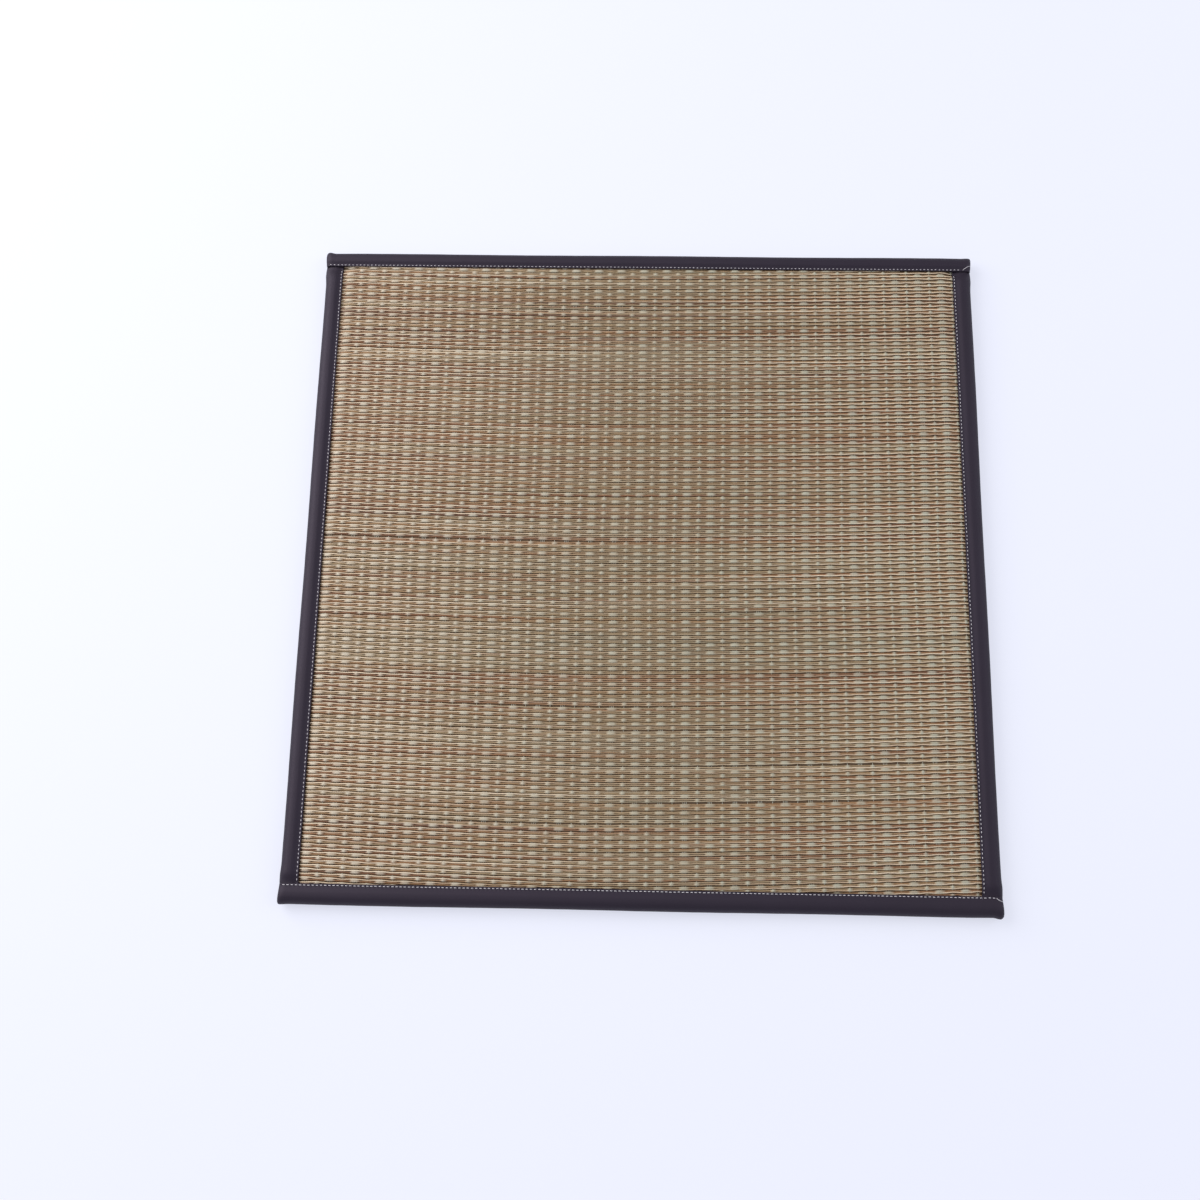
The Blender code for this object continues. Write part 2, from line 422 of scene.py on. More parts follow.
def swell(row, place, swell_place):
    """How far the strip's edge stands out at this place, from minus to plus half its side."""
    length = SIDE_SWELL_LENGTH if is_side(row) else END_SWELL_LENGTH
    first = bump(place + HALF - swell_place, length) * row["swells"][0] * MM
    last = bump(HALF - swell_place - place, length) * row["swells"][1] * MM
    turns = WAVES_ALONG * place / SIDE + row["start"]
    fade = min(inset_at(place) / PINCH_START, 1)
    wave = WAVE_HEIGHT * (1 + math.sin(2 * math.pi * turns)) / 2
    return first + last + (wave + ripple(place, row["start"])) * fade


def drawn_out(row, inwards):
    """Where a point of the section lies in a strip that is narrower than the others."""
    share = float(smooth_step((inwards - CROWN_END) / (LIP_END - CROWN_END)))
    return inwards - row["narrower"] * MM * share


def side_shape(row, along, inwards, height):
    inset = inset_at(along)
    inwards = drawn_out(row, inwards)
    low = floor_line(inset)
    share = (pressed_top(inset) - low) / THICKNESS
    out = swell(row, along, SIDE_SWELL_PLACE) * (1 - inwards / LEG_END)
    return (along, inwards - out, low + height * share)


def quarter_round(inset, radius):
    """How far a rounded end falls short here, from 1 at the end to 0 a radius in."""
    turn = max(1 - inset / radius, 0)
    return 1 - math.sqrt(1 - turn * turn)


def end_shape(row, along, inwards, height):
    inset = inset_at(along)
    inwards = drawn_out(row, inwards)
    fall = END_FALL * quarter_round(inset, END_ROUNDING)
    height = THICKNESS / 2 + (height - THICKNESS / 2) * (1 - fall)
    radius = row["radii"][0 if along < 0 else 1] * MM
    turned_in = radius * quarter_round(inset, radius)
    out = (swell(row, along, END_SWELL_PLACE) - turned_in) * (1 - inwards / LEG_END)
    flare = max(1 - inset / REACH_START, 0) * max(1 - inwards / STITCH_LINE, 0)
    return (along + math.copysign(END_REACH * flare, along), inwards - out, height)


def strip_point(row, along, inwards, height):
    """A point of a strip in the mat's frame."""
    shape = side_shape if is_side(row) else end_shape
    x, y, z = shape(row, along, inwards, height)
    turn = math.radians(row["turn"])
    y -= HALF
    return (x * math.cos(turn) - y * math.sin(turn), x * math.sin(turn) + y * math.cos(turn), z)


def strip_stations(row):
    insets = [inset * MM for inset in END_INSETS]
    if is_side(row):
        insets = [TUCK_END] + [inset for inset in insets if inset > TUCK_END + GAP]
    free = np.linspace(-HALF + insets[-1], HALF - insets[-1], round(SIDE / STATION_STEP))[1:-1]
    ends = [HALF - inset for inset in insets]
    return [-place for place in ends] + [float(place) for place in free] + ends[::-1]


def binding_strip(row):
    """One strip, lofted along its edge, with a UV map of its length and its run across."""
    outline, runs = strip_outline()
    stations = strip_stations(row)
    rings = np.array([[strip_point(row, s, d, z) for d, z in outline] for s in stations])
    made = tubes_object(row["name"], [rings], {})
    layer = made.data.uv_layers.new(name="strip_run")
    count = len(outline)
    owners = np.empty(len(made.data.loops), dtype=np.int32)
    made.data.loops.foreach_get("vertex_index", owners)
    places = np.array(stations)[owners // count]
    across = np.array(runs)[owners % count]
    layer.data.foreach_set("uv", np.stack([places, across], axis=1).ravel().astype(np.float32))
    return made


# The seams
def seam_route(row):
    """Stitch middles along a strip, and the points of a loose tail as (along, inwards). The
    near and far seams have one that turns outwards at the mat's right."""
    stitch_length = row["stitch"] * MM
    limit = HALF - END_SEAM_CLEAR * stitch_length
    if is_side(row):
        limit = HALF - LIP_END - SIDE_SEAM_CLEAR
    count = int(2 * limit / STITCH_PITCH)
    first = -(count - 1) / 2 * STITCH_PITCH
    places = [first + index * STITCH_PITCH for index in range(count)]
    if row["tail"] is None:
        return places, []
    right = 1 if row["turn"] == 0 else -1
    inset, side = (size * MM for size in row["tail"])
    turn_at = HALF - inset
    straight = [place for place in places if place * right < turn_at - stitch_length / 2]
    tail = []
    for share in np.linspace(0, 1, TAIL_STEPS):
        along = turn_at + share * inset * TAIL_REACH
        tail.append((right * along, STITCH_LINE - side * share**TAIL_CURVE))
    return straight, tail


STITCH_PROFILE = [(math.cos(math.pi * step / 3), math.sin(math.pi * step / 3)) for step in range(6)]
STITCH_RUN = ((-0.5, -1.0, 0.5), (-0.38, 0.35, 0.9), (0.0, 0.9, 1.0), (0.38, 0.35, 0.9), (0.5, -1.0, 0.5))


def surface_height(inwards):
    return float(read_line(strip_surface()[ARC_STEPS // 2 + 3 :], inwards))


def stitch(row, start, end):
    """A thread from start to end, both (along, inwards), that dives in at both."""
    start = np.array(start)
    end = np.array(end)
    line = []
    for share, rise, thick in STITCH_RUN:
        along, inwards = start + (end - start) * (share + 0.5)
        height = surface_height(inwards) + rise * STITCH_HEIGHT
        line.append(strip_point(row, along, inwards, height))
    thick = np.array([values[2] for values in STITCH_RUN])
    half_height = thick * STITCH_HEIGHT * STITCH_THICKNESS
    return tube_along(np.array(line), thick * STITCH_HALF_WIDTH, half_height, STITCH_PROFILE)


def seam(row, rng):
    """All stitches along a strip, each a little out of line."""
    middles, tail = seam_route(row)
    threads = []
    for place in middles:
        place += rng.normal(0, STITCH_SLIP)
        first, last = STITCH_LINE + rng.normal(0, STITCH_SLIP, 2)
        reach = row["stitch"] * MM / 2 * rng.uniform(*STITCH_VARIES)
        threads.append(stitch(row, (place - reach, first), (place + reach, last)))
    if tail:
        heights = [surface_height(inwards) + TAIL_RISE * STITCH_HEIGHT for _, inwards in tail]
        line = np.array([strip_point(row, s, d, z) for (s, d), z in zip(tail, heights)])
        thin = np.full(len(tail), TAIL_HALF_WIDTH)
        threads.append(tube_along(line, thin, thin, STITCH_PROFILE))
    return tubes_object(row["name"].replace("strip", "seam"), threads, {})


# The weave
def bed_height(x, y):
    """The height that the weave lies on: lower under the bindings, and lower again in the
    corners, where a side strip is pressed flat under the near or far one."""
    rises = []
    pressed = 1
    for inset in (HALF - np.abs(x), HALF - np.abs(y) + FAR_NARROWER * (np.asarray(y) > 0)):
        rises.append(smooth_step((inset - WEAVE_END) / (FIELD_START - WEAVE_END)))
        pressed = pressed * (1 - smooth_step((inset - LIP_END) / (PINCH_START - LIP_END)))
    return BED_LOW + (BED_HIGH - BED_LOW) * rises[0] * rises[1] - CORNER_DIP * pressed


def row_bow(x):
    """How far a row at mid-height lies towards the far side at x."""
    place = x / HALF - BOW_START
    right = BOW_RISE * np.maximum(place, 0) ** BOW_POWER
    left = LEFT_BOW_RISE * np.maximum(-place, 0) ** LEFT_BOW_POWER
    return right + left - BOW_RISE * abs(BOW_START) ** BOW_POWER


def row_place(middle, x):
    """Where a row that crosses the mat's middle at this height lies at x."""
    return middle + row_bow(x) * (1 - BOW_EASE * middle / HALF)


def column_shift(y):
    return WARP_LEAN * y / SIDE - WARP_SAG * np.exp(-((y / WARP_SAG_REACH) ** 2))


def row_middles():
    """The rows' places along Y where they cross the middle of the mat."""
    first = -HALF + WEAVE_END - (1 + BOW_EASE) * row_bow(np.array(HALF))
    last = HALF - WEAVE_END + FAR_NARROWER - row_bow(np.array(BOW_START * HALF))
    return np.arange(float(first), float(last), ROW_PITCH)


def row_stations(parity, y):
    """Where a row's stems have a section, how far the row is on a crest there, and how far
    into a float."""
    run = WIDE_RUN if parity == 0 else NARROW_RUN
    columns = np.arange(-COLUMNS_EACH_WAY, COLUMNS_EACH_WAY + 2) * BAND_PITCH + FIRST_BAND
    columns = columns - parity * BAND_PITCH / 2
    table = np.array(run)
    stretch = np.interp(columns / HALF, ACROSS_PLACES, NARROW_STRETCH) if parity else np.ones(len(columns))
    near_crest = np.abs(table[:, 0]) < NARROW_REACH
    along = table[:, 0] * MM * np.where(near_crest, stretch[:, None], 1)
    full = (columns[:, None] + along + column_shift(y)).ravel()
    limit = HALF - WEAVE_END
    x = np.unique(np.clip(full, -limit, limit))
    crest, afloat = (np.interp(x, full, np.tile(table[:, index], len(columns))) for index in (1, 2))
    return x, crest, afloat


def between(limits, share):
    return limits[0] + (limits[1] - limits[0]) * share


def in_field(y):
    return (y > WEAVE_END - HALF) & (y < HALF - WEAVE_END + FAR_NARROWER)


def inside_runs(inside):
    """(first, past last) of each stretch of stations that lies inside, two or more long."""
    edges = np.flatnonzero(np.diff(np.concatenate([[False], inside, [False]]).astype(int)))
    return [(a, b) for a, b in zip(edges[::2], edges[1::2]) if b - a > 1]


STRAND_PROFILE = ((-1.0, -0.5), (-0.48, 0.84), (0.48, 0.84), (1.0, -0.5))


def rightness(x):
    """From 0 at the mat's left to 1 at its right."""
    return (x / HALF + 1) / 2


def stem_top(x, root, crest, afloat):
    """The height of a stem's top above the backing, where root says how thick it is from
    0 for a thin tip to 1. A thick stem dives beside its crests, and a thin one runs high."""
    right = rightness(x)
    low = between(ROOT_TOP, right) + afloat * (between(FLOAT_TOP, right) - between(ROOT_TOP, right))
    level = between(TIP_TOP, right) * (1 - root) + low * root
    return level + crest * (CREST_TOP - level)


def row_line(middle, x, afloat, rng):
    """A row's places along Y, with its small wandering and any gap behind it."""
    waves = rng.uniform(0, 2 * math.pi, 2)
    wander = sum(np.sin(x / length + wave) for length, wave in zip(WANDER_LENGTHS, waves))
    y = row_place(middle, x) + ROW_WANDER * wander / 2
    for loose_middle, widest in LOOSE_ROWS:
        if abs(loose_middle - middle) <= ROW_PITCH / 2:
            y -= LOOSE_ROW_GAP * np.exp(-(((x - widest) / LOOSE_ROW_REACH) ** 2))
    return y + afloat * between(FLOAT_DRIFT, rightness(x))


def stem(row, side, rng):
    """One stem of a row, on its near (-1) or far (1) side, as (rings, tone, crest, tip) with
    values at each ring."""
    x, crest, afloat = row["x"], row["crest"], row["afloat"]
    swapped = np.clip(SWAP_SLOPE * x / HALF + rng.normal(0, SWAP_VARIES), -1, 1)
    share = 0.5 + side * row["taper"] * swapped / 2
    root = np.clip((share - 0.5) / STEM_TAPER + 0.5, 0, 1)
    off_crest = 1 - crest
    half_width = row["half"] * share * (1 + CREST_SPREAD * crest + TIP_SPREAD * (1 - root))
    half_width = half_width * (1 - MIDDLE_SPLIT * (1 - np.abs(2 * root - 1)) * off_crest)
    half_width = half_width * (1 + LEFT_BELLY * (afloat - 0.5) * root * off_crest * (1 - rightness(x)))
    half_height = STEM_FLATNESS * half_width**FLATNESS_POWER * USUAL_HALF_WIDTH ** (1 - FLATNESS_POWER)
    slip = STEM_WAVE * np.sin(x / rng.uniform(*STEM_WAVE_LENGTHS))
    y = row["y"] + side * (row["half"] - half_width) + slip
    top = stem_top(x, root, crest, afloat) + rng.normal(0, TOP_VARIES)
    z = bed_height(x, y) + top - half_height
    tone = row["tone"] + rng.normal(0, STEM_TONE_SPREAD) + np.interp(x / HALF, GREYING_PLACES, GREYING)
    tone = np.clip(tone, 0, GREYEST_TONE)
    rings = tube_along(np.stack([x, y, z], axis=1), half_width, half_height, STRAND_PROFILE)
    roll = -side * ROOT_ROLL * root * off_crest * (ROLL_AT_CRESTS + afloat) * half_height
    rings[:, :, 2] += roll[:, None] * np.array([point[0] for point in STRAND_PROFILE])
    whole = (rings, tone, row["pale"], 1 - root)
    return [tuple(values[first:last] for values in whole) for first, last in inside_runs(in_field(y))]


def weft_strands(rng):
    """The two stems of every row. The near stem's root is at the left and the far stem's at
    the right, so each is thick and brown at one end and thin and pale at the other, the pale end
    partly its own colour and partly a painted highlight."""
    strands = []
    bundle = 0.0
    for index, middle in enumerate(row_middles()):
        x, crest, afloat = row_stations(index % 2, middle)
        row = {"x": x, "crest": crest, "afloat": afloat}
        row["y"] = row_line(middle, x, afloat, rng)
        bundle = BUNDLE_KEPT * bundle + rng.normal(0, BUNDLE_STEP)
        row["tone"] = MEAN_TONE + bundle + rng.normal(0, ROW_TONE_SPREAD)
        half = between(ROW_HALF_WIDTH, crest) - FLOAT_NARROWER * afloat
        row["half"] = half * rng.uniform(*ROW_WIDTH_VARIES)
        row["taper"] = STEM_TAPER * rng.uniform(*TAPER_VARIES)
        paleness = np.interp(x / HALF, ACROSS_PLACES, CREST_PALENESS_AND_HIGHLIGHT)
        # A crest's pale share: partly the rush's own colour, partly a painted highlight.
        row["pale"] = crest * paleness * rng.uniform(*PALENESS_VARIES)
        strands += stem(row, -1, rng) + stem(row, 1, rng)
    return strands


THREAD_PROFILE = ((-1.0, -0.5), (-0.5, 0.8), (0.5, 0.8), (1.0, -0.5))


def warp_thread(x_place, parity):
    """A thread that passes over the rows of this parity and under the others."""
    middles = row_middles()
    y = row_place(middles, np.full(len(middles), x_place))
    x = x_place + column_shift(y)
    over = np.arange(len(middles)) % 2 == parity
    lift = np.where(over, THREAD_OVER, THREAD_UNDER)
    line = np.stack([x, y, bed_height(x, y) + lift], axis=1)
    line = line[in_field(line[:, 1])]
    wide = np.full(len(line), THREAD_HALF_WIDTH)
    high = np.full(len(line), THREAD_HALF_HEIGHT)
    return tube_along(line, wide, high, THREAD_PROFILE)


def warp_threads():
    """Bands of three threads under the even rows' crests, and single threads under the
    odd rows' crests. Each passes over the rows between."""
    bands = []
    singles = []
    for index in range(-COLUMNS_EACH_WAY, COLUMNS_EACH_WAY + 1):
        middle = FIRST_BAND + index * BAND_PITCH
        for place in (middle - BAND_SPREAD, middle, middle + BAND_SPREAD):
            if abs(place) < HALF - LIP_END:
                bands.append(warp_thread(place, 1))
        single = middle - BAND_PITCH / 2
        if abs(single) < HALF - LIP_END:
            singles.append(warp_thread(single, 0))
    return bands, singles


def backing():
    """The body of the mat under the weave, with its margin inside the strips."""
    outline = [(d - HALF, z) for d, z in MARGIN] + [(HALF - d, z) for d, z in MARGIN[::-1]]
    insets = sorted(d for d, z in MARGIN)
    insets = [inset for inset, before in zip(insets[1:], insets) if inset - before > SAME_INSET]
    stations = [inset - HALF for inset in insets] + [HALF - inset for inset in insets[::-1]]
    rings = []
    for along in stations:
        inset = inset_at(along)
        low = floor_line(inset)
        ring = []
        for across, height in outline:
            if height > THICKNESS / 2 and min(inset, inset_at(across)) >= STITCH_LINE:
                ring.append((across, along, float(bed_height(across, along))))
                continue
            top = pressed_top(inset) if inset_at(across) < LIP_END + GAP else ceiling_line(inset, MARGIN)
            full = THICKNESS if inset_at(across) < LIP_END + GAP else BED_HIGH
            ring.append((across, along, low + height * (top - low) / full))
        rings.append(ring)
    made = tubes_object("rush_backing", [np.array(rings)], {})
    # Upward faces, seen only between the rows, take slot 1: the dark rush of painted shade.
    for face in made.data.polygons:
        face.material_index = 1 if face.normal.z > 0.5 else 0
    return made


# Materials
def add_node(tree, kind, inputs=None, **settings):
    """Adds one node. Settings are its properties, and inputs are values or the sockets
    that feed it."""
    made = tree.nodes.new(kind)
    for name, value in settings.items():
        setattr(made, name, value)
    for name, value in (inputs or {}).items():
        socket = made.inputs[name]
        if isinstance(value, bpy.types.NodeSocket):
            tree.links.new(value, socket)
        else:
            socket.default_value = value
    return made


def new_material(name):
    made = bpy.data.materials.new(name)
    made.use_nodes = True
    tree = made.node_tree
    return made, tree, tree.nodes["Principled BSDF"]


def mixed(tree, share, first, second, blend="MIX"):
    """The colour between two, or their product where blend says so."""
    inputs = {0: share, 6: first, 7: second}
    return add_node(tree, "ShaderNodeMix", inputs, data_type="RGBA", blend_type=blend).outputs[2]


def worked(tree, operation, first, second=0.0, third=0.0, clamp=False):
    inputs = {0: first, 1: second, 2: third}
    return add_node(tree, "ShaderNodeMath", inputs, operation=operation, use_clamp=clamp).outputs[0]


def set_ramp(ramp_node, stops):
    """Gives a colour ramp its stops, each (place, hex colour)."""
    ramp = ramp_node.color_ramp
    while len(ramp.elements) > 1:
        ramp.elements.remove(ramp.elements[-1])
    ramp.elements[0].position = stops[0][0]
    ramp.elements[0].color = linear(stops[0][1])
    for place, colour in stops[1:]:
        ramp.elements.new(place).color = linear(colour)


def stretched_noise(tree, place, sizes, detail, roughness=0.5):
    """Noise whose grains have these sizes along X, Y and Z, in metres."""
    scale = tuple(1 / size for size in sizes)
    mapped = add_node(tree, "ShaderNodeMapping", {"Vector": place, "Scale": scale}).outputs[0]
    inputs = {"Vector": mapped, "Scale": 1.0, "Detail": detail, "Roughness": roughness}
    return add_node(tree, "ShaderNodeTexNoise", inputs).outputs["Fac"]


RUSH_TONES = (
    (0.0, "#6E4A33"),
    (0.2, "#855B3E"),
    (0.36, "#9A6E4A"),
    (0.5, "#A2805A"),
    (0.64, "#9B8463"),
    (0.8, "#A98F6B"),
    (1.0, "#8A7F65"),
)
# The pale tip and crest colours are partly the rush's own and partly a painted highlight.
PALE_TIP_AND_HIGHLIGHT = "#F0D8B8"
CREAM_CREST = "#CDC1AB"
GREEN_CREST = "#B7B8A4"
RUSH_FLECK = "#5E452F"


def dried_rush():
    """Dried rush stems, steamed and woven: each stem has its own tone from tan to grey
    green, a paler tip, fine lengthwise fibres and a waxy skin. The pale tips are partly the rush's
    own colour and partly a painted highlight along each row. On the crests over the warp it is
    pressed smooth and shows pale, partly its own colour and partly a painted highlight that is
    strongest at the left: cream at the left and greenish elsewhere."""
    made, tree, surface = new_material("dried rush")
    place = add_node(tree, "ShaderNodeTexCoord").outputs["Object"]
    tone = add_node(tree, "ShaderNodeAttribute", attribute_name="tone").outputs["Fac"]
    crest = add_node(tree, "ShaderNodeAttribute", attribute_name="crest").outputs["Fac"]
    tip = add_node(tree, "ShaderNodeAttribute", attribute_name="tip").outputs["Fac"]
    drift = stretched_noise(tree, place, (45 * MM, 1.6 * MM, 9 * MM), 2)
    shifted = worked(tree, "MULTIPLY_ADD", drift, 0.5, -0.25)
    ramp = add_node(tree, "ShaderNodeValToRGB", {"Fac": worked(tree, "ADD", tone, shifted, clamp=True)})
    set_ramp(ramp, RUSH_TONES)
    # The thin tips mix towards a pale straw: partly the rush's own colour, partly a painted highlight.
    paler = mixed(tree, worked(tree, "POWER", tip, 2.8), ramp.outputs["Color"], linear(PALE_TIP_AND_HIGHLIGHT))
    fibres = stretched_noise(tree, place, (14 * MM, 0.22 * MM, 0.4 * MM), 3, 0.6)
    streaks = add_node(
        tree, "ShaderNodeMapRange", {"Value": fibres, "From Min": 0.35, "From Max": 0.75, "To Max": 0.35}
    ).outputs[0]
    streaked = mixed(tree, streaks, paler, linear(RUSH_FLECK))
    parts = add_node(tree, "ShaderNodeSeparateXYZ", {0: place})
    inputs = {"Value": parts.outputs[0], "From Min": -0.25, "From Max": 0.05}
    greenness = add_node(tree, "ShaderNodeMapRange", inputs).outputs[0]
    # The crests' pale colour is partly the pressed rush's own and partly a painted highlight.
    pressed = mixed(tree, greenness, linear(CREAM_CREST), linear(GREEN_CREST))
    patches = stretched_noise(tree, place, (7 * MM, 2.5 * MM, 9 * MM), 1)
    inputs = {"Value": patches, "From Min": 0.3, "From Max": 0.65, "To Min": 0.6, "To Max": 1.0}
    evenness = add_node(tree, "ShaderNodeMapRange", inputs).outputs[0]
    coloured = mixed(tree, worked(tree, "MULTIPLY", crest, evenness), streaked, pressed)
    tree.links.new(coloured, surface.inputs["Base Color"])
    rough = worked(tree, "MULTIPLY_ADD", fibres, 0.25, 0.3)
    tree.links.new(rough, surface.inputs["Roughness"])
    surface.inputs["IOR"].default_value = 1.46
    bumped = add_node(tree, "ShaderNodeBump", {"Height": fibres, "Strength": 0.5, "Distance": 0.12 * MM})
    tree.links.new(bumped.outputs[0], surface.inputs["Normal"])
    return made


def twisted_cotton():
    """Spun cotton warp: matt, off-white, with the twist of its two plies."""
    made, tree, surface = new_material("twisted cotton")
    place = add_node(tree, "ShaderNodeTexCoord").outputs["Object"]
    turned = add_node(tree, "ShaderNodeMapping", {"Vector": place, "Rotation": (0, 0, math.radians(40))})
    inputs = {"Vector": turned.outputs[0], "Scale": 1 / (3.2 * MM), "Distortion": 0.4}
    plies = add_node(tree, "ShaderNodeTexWave", inputs).outputs["Fac"]
    coloured = mixed(tree, plies, linear("#B4AF9B"), linear("#CFCABA"))
    tree.links.new(coloured, surface.inputs["Base Color"])
    surface.inputs["Roughness"].default_value = 0.85
    bumped = add_node(tree, "ShaderNodeBump", {"Height": plies, "Strength": 0.6, "Distance": 0.1 * MM})
    tree.links.new(bumped.outputs[0], surface.inputs["Normal"])
    return made


def woven_underside():
    """The same rush weave seen from below, where it lies flat: rows of long floats that
    dive in at both ends, every other row half a repeat along, with painted shade where they dive
    and along each row's edges."""
    made, tree, surface = new_material("woven rush underside")
    place = add_node(tree, "ShaderNodeTexCoord").outputs["Object"]
    parts = add_node(tree, "ShaderNodeSeparateXYZ", {0: place})
    rows = worked(tree, "DIVIDE", parts.outputs[1], ROW_PITCH)
    other_row = worked(tree, "MODULO", worked(tree, "FLOOR", rows), 2.0)
    repeats = worked(tree, "DIVIDE", parts.outputs[0], BAND_PITCH)
    along = worked(tree, "FRACT", worked(tree, "MULTIPLY_ADD", other_row, 0.5, repeats))
    from_middle = worked(tree, "ABSOLUTE", worked(tree, "MULTIPLY_ADD", along, 2.0, -1.0))
    dive = worked(tree, "POWER", from_middle, 7.0)
    across = worked(tree, "MULTIPLY_ADD", worked(tree, "FRACT", rows), 2.0, -1.0)
    crown = worked(tree, "SUBTRACT", 1.0, worked(tree, "MULTIPLY", across, across))
    height = worked(tree, "MULTIPLY", crown, worked(tree, "SUBTRACT", 1.0, dive))
    fibres = stretched_noise(tree, place, (14 * MM, 0.3 * MM, 0.5 * MM), 3, 0.6)
    drift = stretched_noise(tree, place, (60 * MM, ROW_PITCH, 9 * MM), 2)
    stems = mixed(tree, drift, linear("#8D7650"), linear("#B2916A"))
    streaked = mixed(tree, worked(tree, "MULTIPLY", fibres, 0.4), stems, linear(RUSH_FLECK))
    # The relief also darkens the colour where the floats dive and at the rows' edges: painted shade.
    painted_shading = worked(tree, "POWER", height, 0.4)
    tree.links.new(mixed(tree, painted_shading, linear("#4A3A28"), streaked), surface.inputs["Base Color"])
    surface.inputs["Roughness"].default_value = 0.6
    relief = worked(tree, "MULTIPLY_ADD", fibres, 0.1, height)
    bumped = add_node(tree, "ShaderNodeBump", {"Height": relief, "Strength": 0.8, "Distance": 1.0 * MM})
    tree.links.new(bumped.outputs[0], surface.inputs["Normal"])
    return made


def rush_in_shade():
    """The rush deeper in the mat, seen only as thin lines between the rows: a dark brown that is
    painted shade, and matt."""
    made, tree, surface = new_material("rush in painted shade deep in the weave")
    place = add_node(tree, "ShaderNodeTexCoord").outputs["Object"]
    fibres = stretched_noise(tree, place, (9 * MM, 0.4 * MM, 0.4 * MM), 2)
    coloured = mixed(tree, fibres, linear("#4A392A"), linear("#755D42"))
    tree.links.new(coloured, surface.inputs["Base Color"])
    surface.inputs["Roughness"].default_value = 0.85
    return made


def leatherette(seam_run):
    """Coated cloth with a leather grain: dark plum brown, a dull gloss, fine pebbles, and
    small puckers where the thread pulls it down."""
    made, tree, surface = new_material("grained leatherette")
    place = add_node(tree, "ShaderNodeTexCoord").outputs["Object"]
    cells = add_node(
        tree, "ShaderNodeTexVoronoi", {"Vector": place, "Scale": 1 / (0.9 * MM)}, feature="SMOOTH_F1"
    ).outputs["Distance"]
    cloudy = stretched_noise(tree, place, (35 * MM, 35 * MM, 35 * MM), 3)
    coloured = mixed(tree, cloudy, linear("#140E14"), linear("#1C141D"))
    worn = mixed(tree, worked(tree, "MULTIPLY", cells, 0.35), coloured, linear("#2A212E"))
    tree.links.new(worn, surface.inputs["Base Color"])
    rough = worked(tree, "MULTIPLY_ADD", cells, 0.16, 0.54)
    tree.links.new(rough, surface.inputs["Roughness"])
    surface.inputs["IOR"].default_value = 1.45
    surface.inputs["Specular IOR Level"].default_value = 0.6
    surface.inputs["Specular Tint"].default_value = (0.88, 0.77, 0.96, 1)
    run = add_node(tree, "ShaderNodeUVMap", uv_map="strip_run").outputs[0]
    parts = add_node(tree, "ShaderNodeSeparateXYZ", {0: run})
    beat = worked(tree, "COSINE", worked(tree, "MULTIPLY", parts.outputs[0], 2 * math.pi / STITCH_PITCH))
    off = worked(tree, "MULTIPLY", worked(tree, "SUBTRACT", parts.outputs[1], seam_run), 1 / (1.6 * MM))
    near = worked(tree, "EXPONENT", worked(tree, "MULTIPLY", worked(tree, "MULTIPLY", off, off), -1.0))
    puckers = worked(tree, "MULTIPLY", near, beat)
    grain = add_node(tree, "ShaderNodeBump", {"Height": cells, "Strength": 0.35, "Distance": 0.08 * MM})
    inputs = {"Height": puckers, "Strength": 0.5, "Distance": 0.18 * MM, "Normal": grain.outputs[0]}
    bumped = add_node(tree, "ShaderNodeBump", inputs)
    tree.links.new(bumped.outputs[0], surface.inputs["Normal"])
    return made


def sewing_thread():
    """Spun polyester sewing thread: pale warm grey with a slight sheen and fine twist."""
    made, tree, surface = new_material("spun sewing thread")
    place = add_node(tree, "ShaderNodeTexCoord").outputs["Object"]
    fuzz = stretched_noise(tree, place, (0.5 * MM, 0.5 * MM, 0.5 * MM), 2)
    coloured = mixed(tree, fuzz, linear("#C9C1C4"), linear("#EAE5E4"))
    tree.links.new(coloured, surface.inputs["Base Color"])
    surface.inputs["Roughness"].default_value = 0.6
    surface.inputs["Sheen Weight"].default_value = 0.2
    bumped = add_node(tree, "ShaderNodeBump", {"Height": fuzz, "Strength": 0.4, "Distance": 0.08 * MM})
    tree.links.new(bumped.outputs[0], surface.inputs["Normal"])
    return made


def matt_floor():
    """A plain pale matt floor with a faint glow of its own, so shadows stay light."""
    made, tree, surface = new_material("pale matt floor")
    surface.inputs["Base Color"].default_value = linear("#8E8F96")
    surface.inputs["Emission Color"].default_value = linear("#E9EBF8")
    surface.inputs["Emission Strength"].default_value = 0.72
    surface.inputs["Roughness"].default_value = 0.7
    return made


# The scene
def finish_piece(piece, look):
    piece.data.materials.append(look)
    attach(piece, "root")


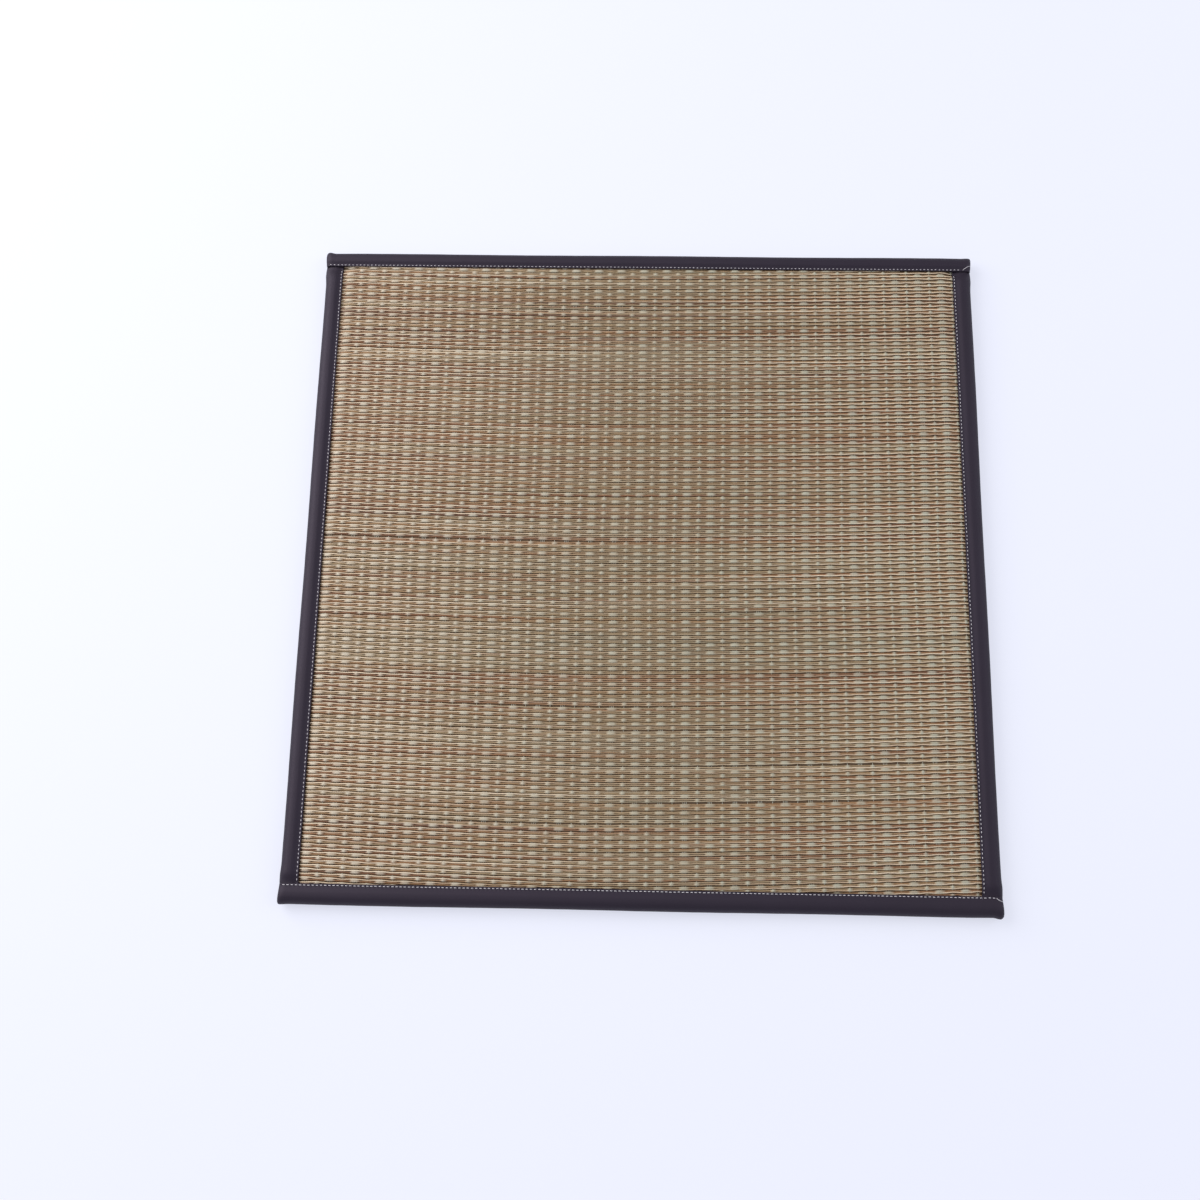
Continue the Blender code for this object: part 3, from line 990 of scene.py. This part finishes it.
def build_weave():
    rng = np.random.default_rng(SEED)
    rush = dried_rush()
    cotton = twisted_cotton()
    strands = weft_strands(rng)
    size = math.ceil(len(strands) / WEFT_PIECES)
    for index in range(WEFT_PIECES):
        part = strands[index * size : (index + 1) * size]
        # The crest and tip values set the pale crests and tips, which are partly painted highlight.
        values = {"tone": [s[1] for s in part], "crest": [s[2] for s in part], "tip": [s[3] for s in part]}
        made = tubes_object(f"rush_rows_{index + 1}", [strand[0] for strand in part], values)
        finish_piece(made, rush)
    for name, threads in zip(("banded_warp", "single_warp"), warp_threads()):
        made = tubes_object(name, threads, {})
        finish_piece(made, cotton)
    body = backing()
    finish_piece(body, woven_underside())
    # The second slot is the dark rush of painted shade for the backing's upward faces.
    body.data.materials.append(rush_in_shade())
    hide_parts("mat_panel")


def build_bindings():
    rng = np.random.default_rng(SEED)
    outline, runs = strip_outline()
    seam_index = len(strip_surface()) - 2
    look = leatherette(float(runs[seam_index]))
    thread = sewing_thread()
    for values in STRIPS:
        row = dict(zip(STRIP_COLUMNS, values))
        strip = binding_strip(row)
        finish_piece(strip, look)
        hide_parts(row["node"])
        stitches = seam(row, rng)
        finish_piece(stitches, thread)


def add_area_light(name, place, size, power, colour):
    data = bpy.data.lights.new(name, "AREA")
    data.shape = "RECTANGLE"
    data.size, data.size_y = size
    data.energy = power
    data.color = colour
    made = bpy.data.objects.new(name, data)
    made.location = place
    made.rotation_euler = (-Vector(place)).to_track_quat("-Z", "Y").to_euler()
    bpy.context.scene.collection.objects.link(made)


def build_studio():
    scene = bpy.context.scene
    data = bpy.data.cameras.new("camera")
    data.lens = CAMERA_LENS
    data.sensor_width = 36
    made = bpy.data.objects.new("camera", data)
    made.location = CAMERA_PLACE
    made.rotation_euler = Euler([math.radians(angle) for angle in CAMERA_TURN])
    scene.collection.objects.link(made)
    scene.camera = made
    bpy.ops.object.select_all(action="DESELECT")
    bpy.ops.mesh.primitive_plane_add(size=FLOOR_SIZE, location=(0, 0, -FLOOR_DROP))
    floor = bpy.context.object
    floor.name = "floor"
    floor.data.materials.append(matt_floor())
    for light in LIGHTS:
        add_area_light(*light)
    world = bpy.data.worlds.new("soft room")
    world.use_nodes = True
    world.node_tree.nodes["Background"].inputs["Color"].default_value = linear(ROOM_COLOUR)
    world.node_tree.nodes["Background"].inputs["Strength"].default_value = ROOM_STRENGTH
    scene.world = world
    scene.view_settings.view_transform = "Standard"


build_studio()
build_weave()
build_bindings()
